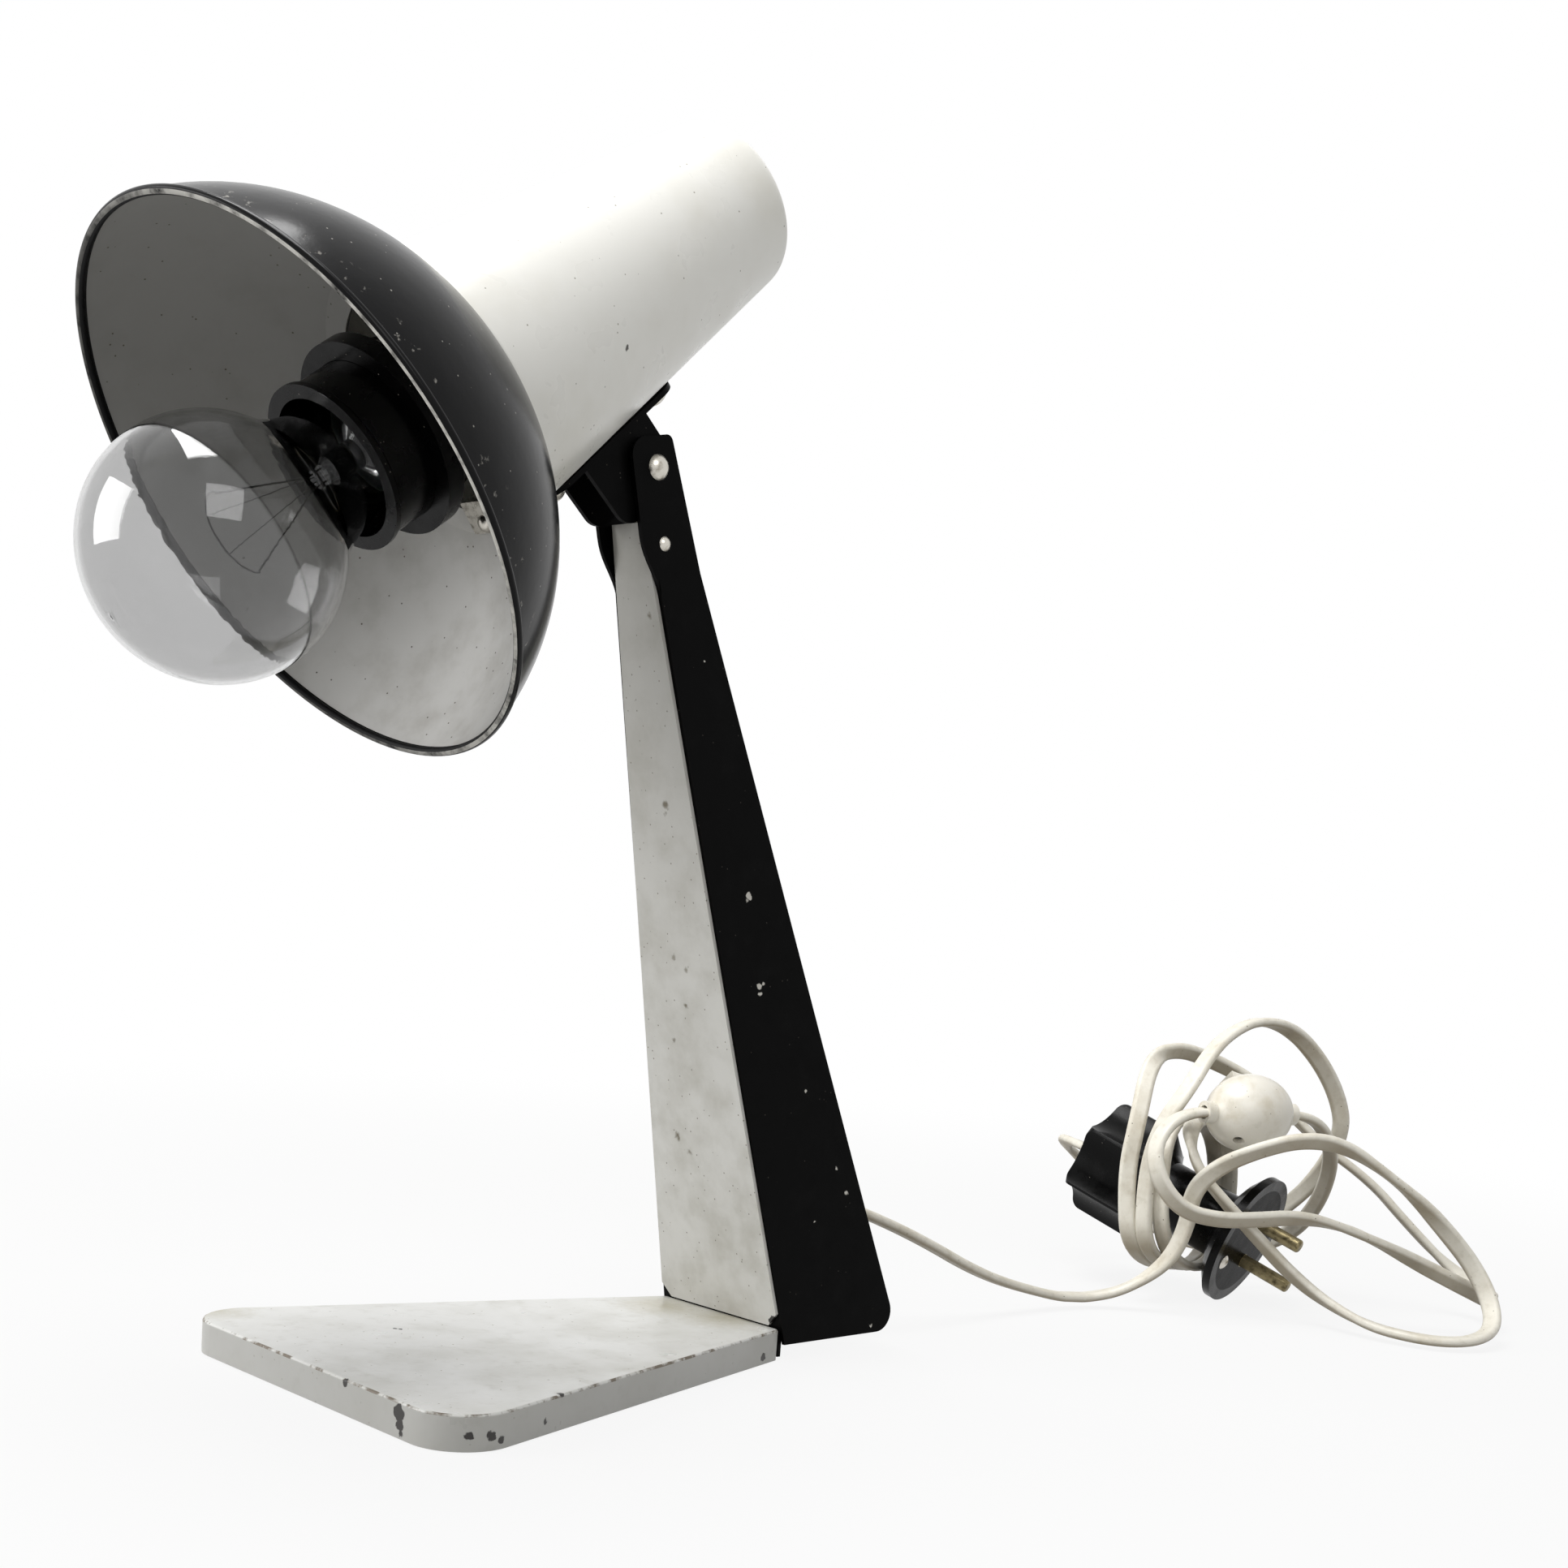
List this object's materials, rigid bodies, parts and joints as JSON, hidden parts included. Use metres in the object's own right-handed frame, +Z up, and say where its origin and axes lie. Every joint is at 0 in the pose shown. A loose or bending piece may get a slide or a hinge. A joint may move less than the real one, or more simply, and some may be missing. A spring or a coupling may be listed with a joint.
{
  "type": "bedside lamp",
  "caption": "Bedside lamp with a heavy plate, a leaning sheet-metal stem, a tilting bell shade with bulb, and a flex with in-line switch and plug.",
  "frame": {"origin": "centre of the base plate's underside", "axes": "+Z up, front of the lamp towards -Y, flex leaves towards +Y"},
  "size_m": [0.1944, 0.4868, 0.3293],
  "materials": {
    "white_enamel": "glossy, chipped at the edges",
    "cream_enamel": "glossy, with small specks",
    "black_paint": "satin, chipped",
    "black_enamel": "glossy, worn at the rim",
    "reflector_white": "satin, inside the shade",
    "nickel_steel": "polished, slightly dull",
    "fibre": "matte",
    "black_bakelite": "polished",
    "porcelain": "glazed",
    "brass": "dull",
    "aluminium_cap": "satin",
    "clear_glass": "clear",
    "tungsten": "drawn wire",
    "black_rubber": "matte",
    "cream_sheath": "satin, grimy",
    "core_insulation": "matte",
    "cream_moulding": "glossy"
  },
  "bodies": {
    "stand": {"base_plate": "white_enamel", "base_screws": "nickel_steel", "stem_channel": "black_paint", "front_panel": "white_enamel", "panel_studs": "nickel_steel", "pivot_rivet": "nickel_steel", "cross_rivet": "nickel_steel", "cord_clip": "nickel_steel", "clip_rivet": "nickel_steel", "flex_stem": "cream_sheath", "free_flex": "cream_sheath", "flex_tangle": "cream_sheath", "plug_flex": "cream_sheath", "plug_body": "black_bakelite", "plug_face": "black_bakelite", "plug_pins": "brass", "cover_screws": "nickel_steel", "plug_bush": "black_rubber", "plug_cores": "core_insulation", "switch_upper": "cream_moulding", "switch_lower": "cream_moulding", "shell_screws": "nickel_steel", "contact_strips": "brass", "rocker_axle": "nickel_steel"},
    "head": {"head_bracket": "black_paint", "pivot_sleeve": "nickel_steel", "friction_washers": "fibre", "housing": "cream_enamel", "bracket_screws": "nickel_steel", "bracket_nuts": "nickel_steel", "grommet": "black_rubber", "shade": "black_enamel", "holder_bridge": "nickel_steel", "bridge_screws": "nickel_steel", "bridge_nuts": "nickel_steel", "holder_skirt": "black_bakelite", "shade_ring": "black_bakelite", "holder_body": "black_bakelite", "dome_cap": "black_bakelite", "porcelain_insert": "porcelain", "screw_shell": "brass", "centre_contact": "brass", "terminal_screws": "brass", "threaded_nipple": "brass", "lock_nut": "brass", "bulb_glass": "clear_glass", "bulb_cap": "aluminium_cap", "cap_insulator": "porcelain", "cap_contact": "brass", "bulb_mount": "clear_glass", "lead_wires": "tungsten", "filament": "tungsten", "filament_supports": "tungsten", "flex_head": "cream_sheath", "flex_cores": "core_insulation"},
    "rocker": {"switch_rocker": "cream_moulding"}
  },
  "joints": [
    {"name": "head_tilt", "type": "hinge", "parent": "stand", "child": "head", "pos_m": [0, 0.01722, 0.24007], "axis": [1, 0, 0], "range_deg": [-60, 6]},
    {"name": "switch_press", "type": "hinge", "parent": "stand", "child": "rocker", "pos_m": [0.03827, 0.27276, 0.07563], "axis": [0.7212, -0.2583, 0.6428], "range_deg": [0, 18]}
  ]
}
